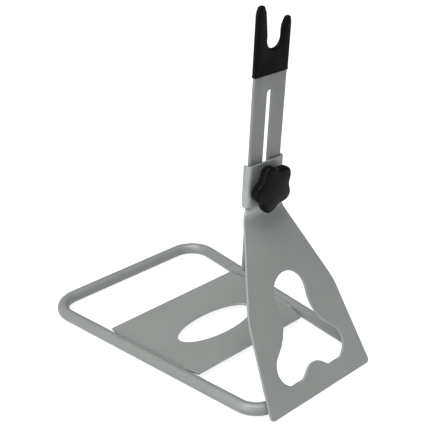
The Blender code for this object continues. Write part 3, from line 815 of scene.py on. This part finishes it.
def notch_creases(recipe):
    """Two shallow arcs in the rubber, round the lower side of the notch."""
    centre = (NOTCH_SHIFT, BOOT_LOW.y + NOTCH_FLOOR + NOTCH_HALF_WIDTH, 0)
    away = recipe.nodes.new("ShaderNodeVectorMath")
    away.operation = "SUBTRACT"
    recipe.links.new(recipe.place, away.inputs[0])
    away.inputs[1].default_value = centre
    flat = recipe.nodes.new("ShaderNodeVectorMath")
    flat.operation = "MULTIPLY"
    recipe.links.new(away.outputs["Vector"], flat.inputs[0])
    flat.inputs[1].default_value = (1, 1, 0)
    distance = recipe.nodes.new("ShaderNodeVectorMath")
    distance.operation = "LENGTH"
    recipe.links.new(flat.outputs["Vector"], distance.inputs[0])
    split = recipe.nodes.new("ShaderNodeSeparateXYZ")
    recipe.links.new(flat.outputs["Vector"], split.inputs["Vector"])
    below = recipe.span(split.outputs["Y"], -8 * MM, -11 * MM)
    from_notch = recipe.math("SUBTRACT", distance.outputs["Value"], NOTCH_HALF_WIDTH + 1.4 * MM)
    wave = recipe.math("SINE", recipe.math("MULTIPLY", from_notch, math.tau / (3 * MM)), 0.0)
    fade = recipe.span(from_notch, 4 * MM, 7 * MM, 1.0, 0.0)
    return recipe.math("MULTIPLY", recipe.math("MULTIPLY", wave, fade), below)


def grained_plastic(name, color):
    """Black moulded plastic: fine spark-eroded grain, polished a little on its lobes."""
    recipe = Recipe(name, color, 0.34, 0.0, 0.06)
    smear = recipe.span(recipe.grain(70, 5, 0.6), 0.35, 0.7)
    tone = recipe.blend(smear, shade(color, 0.85), shade(color, 1.35))
    worn = recipe.math("MULTIPLY", recipe.edges(0.52, 0.58), recipe.span(smear, 0, 1, 0.4, 1))
    tone = recipe.blend(worn, tone, shade(color, 2.0))
    gloss = recipe.span(recipe.grain(140, 4), 0.3, 0.7, 0.33, 0.45)
    gloss = recipe.math("SUBTRACT", gloss, recipe.math("MULTIPLY", worn, 0.08))
    grain = recipe.bump(recipe.grain(1900, 3, 0.6), 0.25, 0.12 * MM)
    return recipe.finish(tone, gloss, recipe.bump(recipe.grain(240, 2), 0.15, 0.3 * MM, grain))


def bright_metal(name, color, stain):
    """Plated or machined metal: brushed roughness, small stains and bright edges."""
    recipe = Recipe(name, color, 0.3, 1.0)
    cloud = recipe.span(recipe.grain(160, 5, 0.65), 0.4, 0.7)
    tone = recipe.blend(cloud, color, stain)
    tone = recipe.blend(recipe.edges(0.52, 0.62), tone, shade(color, 1.25))
    gloss = recipe.span(recipe.grain(500, 4, 0.6, (1, 1, 6)), 0.3, 0.7, 0.2, 0.42)
    scratch = recipe.bump(recipe.grain(1800, 3, 0.6, (1, 1, 5)), 0.15, 0.05 * MM)
    return recipe.finish(tone, gloss, scratch)


def floor_white():
    """Pale studio floor, lit a little from within so that shadows on it stay faint."""
    recipe = Recipe("studio_floor", (0.3, 0.3, 0.3), 0.9, 0.0)
    recipe.shader.inputs["Emission Color"].default_value = (1, 1, 1, 1)
    recipe.shader.inputs["Emission Strength"].default_value = FLOOR_GLOW
    tone = recipe.blend(recipe.grain(3, 2), (0.29, 0.29, 0.29), (0.31, 0.31, 0.31))
    gloss = recipe.span(recipe.grain(40, 2), 0.3, 0.7, 0.85, 0.95)
    return recipe.finish(tone, gloss, recipe.bump(recipe.grain(400, 2), 0.05, 0.1 * MM))


# ---- studio ----

def make_camera():
    """Camera at the object's shown angle."""
    data = bpy.data.cameras.new("camera")
    data.lens = CAMERA_LENS
    data.sensor_width = CAMERA_SENSOR
    camera = bpy.data.objects.new("camera", data)
    heading = Matrix.Rotation(CAMERA_HEADING, 4, "Z")
    dip = Matrix.Rotation(math.pi / 2 - CAMERA_DIP, 4, "X")
    roll = Matrix.Rotation(CAMERA_ROLL, 4, "Z")
    camera.matrix_world = Matrix.Translation(CAMERA_PLACE) @ heading @ dip @ roll
    bpy.context.scene.collection.objects.link(camera)
    bpy.context.scene.camera = camera


def make_light(name, place, size, power):
    """Square soft light aimed at the object."""
    data = bpy.data.lights.new(name, "AREA")
    data.shape = "SQUARE"
    data.size = size
    data.energy = power
    light = bpy.data.objects.new(name, data)
    light.location = place
    light.rotation_euler = (LIGHT_AIM - Vector(place)).to_track_quat("-Z", "Y").to_euler()
    bpy.context.scene.collection.objects.link(light)


def make_studio():
    """Floor, soft lights and an even white surround."""
    half = FLOOR_HALF_SIZE
    bm = bmesh.new()
    corners = ((-half, -half, 0), (half, -half, 0), (half, half, 0), (-half, half, 0))
    bm.faces.new([bm.verts.new(corner) for corner in corners])
    floor = solid("studio_floor", bm)
    floor.data.materials.append(floor_white())
    make_light("key_light", KEY_PLACE, KEY_SIZE, KEY_POWER)
    make_light("top_light", TOP_PLACE, TOP_SIZE, TOP_POWER)
    make_light("fill_light", FILL_PLACE, FILL_SIZE, FILL_POWER)
    world = bpy.data.worlds.new("studio")
    world.use_nodes = True
    background = world.node_tree.nodes["Background"]
    background.inputs["Color"].default_value = (1, 1, 1, 1)
    background.inputs["Strength"].default_value = WORLD_STRENGTH
    bpy.context.scene.world = world
    bpy.context.scene.view_settings.view_transform = "Standard"


def make_object():
    """Every piece of the stand with its material."""
    silver = (0.206, 0.221, 0.210)
    # The tube's coat is the same silver made darker: painted shade for less light on the rounded tubes. The
    # weld beads share it.
    shaded_tube_paint = powder_coat("tube_coat_painted_shade", shade(silver, 0.76), metallic=0.15, specular=0.25)
    make_tube_ring(shaded_tube_paint)
    make_sheets(
        powder_coat("cross_powder_coat", silver),
        powder_coat("plate_powder_coat", silver),
        # The bar's coat is the same silver made darker: painted shade for the dimmer light on the bar.
        powder_coat("bar_coat_painted_shade", shade(silver, 0.68), 0.08),
    )
    make_beads(shaded_tube_paint)
    make_fork_cap(dipped_rubber("dipped_rubber", (0.0018, 0.0018, 0.0017)))
    make_star_knob(grained_plastic("grained_plastic", (0.002, 0.002, 0.0018)))
    zinc = bright_metal("zinc_plate", (0.6, 0.61, 0.61), (0.5, 0.5, 0.46))
    make_bolt(zinc)
    make_washer(zinc)
    make_insert(bright_metal("brass", (0.72, 0.55, 0.28), (0.5, 0.36, 0.16)))


make_camera()
make_studio()
make_object()
